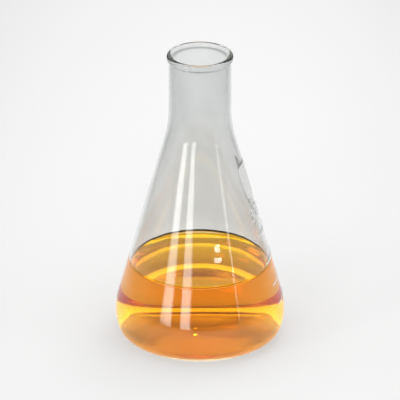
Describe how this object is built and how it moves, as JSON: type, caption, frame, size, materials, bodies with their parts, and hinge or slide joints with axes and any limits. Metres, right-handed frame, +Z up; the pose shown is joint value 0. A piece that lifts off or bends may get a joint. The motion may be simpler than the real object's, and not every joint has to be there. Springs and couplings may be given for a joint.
{
  "type": "erlenmeyer flask",
  "caption": "Clear glass conical laboratory flask with a narrow beaded neck, partly filled with an amber liquid, printed with a volume scale and a marking spot.",
  "frame": {"origin": "middle of the foot ring, on the surface that the flask stands on", "axes": "+Z up along the axis of the body and neck, towards the mouth; +X towards the printed scale"},
  "size_m": [0.087, 0.087, 0.156],
  "materials": {
    "glass": "clear borosilicate, fire polished",
    "amber_liquid": "clear amber liquid, smooth surface",
    "enamel": "fired white enamel, matt"
  },
  "bodies": {
    "root": {"glass_flask": "glass", "liquid": "amber_liquid", "graduation_lines": "enamel", "graduation_numerals": "enamel", "marking_spot": "enamel"}
  },
  "joints": []
}
